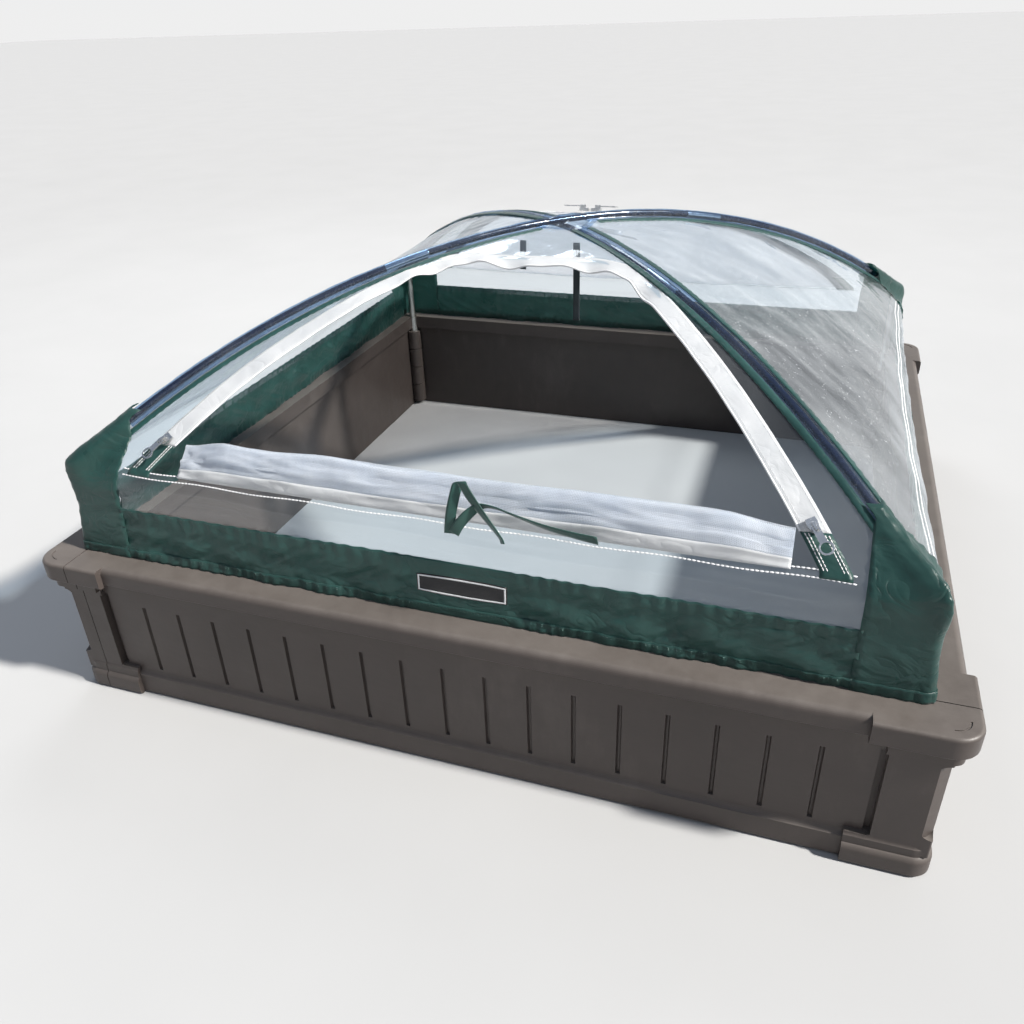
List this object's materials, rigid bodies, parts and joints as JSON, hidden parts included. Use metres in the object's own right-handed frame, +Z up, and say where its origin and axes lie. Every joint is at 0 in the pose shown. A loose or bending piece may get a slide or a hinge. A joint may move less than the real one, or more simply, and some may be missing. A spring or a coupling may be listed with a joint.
{
  "type": "cold frame",
  "caption": "Square raised garden bed of interlocking moulded walls under a domed clear vinyl cover on crossed hoop poles, with a zippered front door folded down.",
  "frame": {"origin": "centre of the bed at ground level", "axes": "+X to the right along the front wall, -Y to the front doorway, +Z up"},
  "size_m": [1.2192, 1.2192, 0.5985],
  "materials": {
    "bed_plastic": "satin",
    "steel": "satin",
    "ferrule_metal": "polished",
    "fibreglass": "gloss",
    "clear_vinyl": "gloss",
    "green_fabric": "coated",
    "green_binding": "coated",
    "zip_tape": "woven",
    "white_mesh": "woven",
    "green_webbing": "woven",
    "dark_webbing": "woven",
    "label_weave": "woven",
    "zip_metal": "polished"
  },
  "bodies": {
    "bed": {"front_wall": "bed_plastic", "right_wall": "bed_plastic", "rear_wall": "bed_plastic", "left_wall": "bed_plastic", "corner_pins": "steel"},
    "cover": {"corner_elbows": "steel", "pole_ferrules": "ferrule_metal", "upper_hoop_pole": "fibreglass", "lower_hoop_pole": "fibreglass", "sleeve_front_left": "clear_vinyl", "gusset_front_left": "green_fabric", "sleeve_front_right": "clear_vinyl", "gusset_front_right": "green_fabric", "sleeve_rear_right": "clear_vinyl", "gusset_rear_right": "green_fabric", "sleeve_rear_left": "clear_vinyl", "gusset_rear_left": "green_fabric", "front_window": "clear_vinyl", "front_skirt": "green_fabric", "front_binding": "green_binding", "right_window": "clear_vinyl", "right_skirt": "green_fabric", "right_binding": "green_binding", "rear_window": "clear_vinyl", "rear_skirt": "green_fabric", "rear_binding": "green_binding", "left_window": "clear_vinyl", "left_skirt": "green_fabric", "left_binding": "green_binding", "front_zip_tape": "zip_tape", "rear_zip_tape": "zip_tape", "rear_door": "white_mesh", "tie_ends": "green_webbing", "roof_tie_straps": "dark_webbing", "label_patch": "label_weave"},
    "front_door": {"front_door": "white_mesh", "door_ties": "green_webbing"},
    "front_left_slider": {"front_left_slider": "zip_metal"},
    "front_left_pull": {"front_left_pull": "zip_metal"},
    "front_right_slider": {"front_right_slider": "zip_metal"},
    "front_right_pull": {"front_right_pull": "zip_metal"},
    "rear_left_slider": {"rear_left_slider": "zip_metal"},
    "rear_left_pull": {"rear_left_pull": "zip_metal"},
    "rear_right_slider": {"rear_right_slider": "zip_metal"},
    "rear_right_pull": {"rear_right_pull": "zip_metal"}
  },
  "joints": [
    {"name": "cover_lift", "type": "slide", "parent": "bed", "child": "cover", "axis": [0, 0, 1], "range_m": [0, 0.35]},
    {"name": "front_door_fold", "type": "hinge", "parent": "cover", "child": "front_door", "pos_m": [0, -0.5475, 0.3615], "axis": [1, 0, 0], "range_deg": [0, 140]},
    {"name": "front_right_zip_travel", "type": "hinge", "parent": "cover", "child": "front_right_slider", "pos_m": [-0.013, 0.0072, -0.6243], "axis": [-0.7676, -0.6409, 0], "range_deg": [0, 20.3]},
    {"name": "front_left_zip_travel", "type": "hinge", "parent": "cover", "child": "front_left_slider", "pos_m": [0.013, 0.0072, -0.6243], "axis": [-0.7676, 0.6409, 0], "range_deg": [0, 20.3]},
    {"name": "rear_left_zip_travel", "type": "slide", "parent": "cover", "child": "rear_left_slider", "axis": [-1, 0, 0], "range_m": [0, 0.05]},
    {"name": "rear_right_zip_travel", "type": "slide", "parent": "cover", "child": "rear_right_slider", "axis": [1, 0, 0], "range_m": [0, 0.05]},
    {"name": "front_right_pull_swing", "type": "hinge", "parent": "front_right_slider", "child": "front_right_pull", "pos_m": [0.41668, -0.5127, 0.39703], "axis": [-0.8438, -0.4088, -0.3477], "range_deg": [0, 150]},
    {"name": "front_left_pull_swing", "type": "hinge", "parent": "front_left_slider", "child": "front_left_pull", "pos_m": [-0.41668, -0.5127, 0.39703], "axis": [-0.8438, 0.4088, 0.3477], "range_deg": [0, 150]},
    {"name": "rear_left_pull_swing", "type": "hinge", "parent": "rear_left_slider", "child": "rear_left_pull", "pos_m": [-0.014, 0.16173, 0.58024], "axis": [0, 0.9738, -0.2274], "range_deg": [0, 150]},
    {"name": "rear_right_pull_swing", "type": "hinge", "parent": "rear_right_slider", "child": "rear_right_pull", "pos_m": [0.014, 0.16173, 0.58024], "axis": [0, -0.9738, 0.2274], "range_deg": [0, 150]}
  ]
}
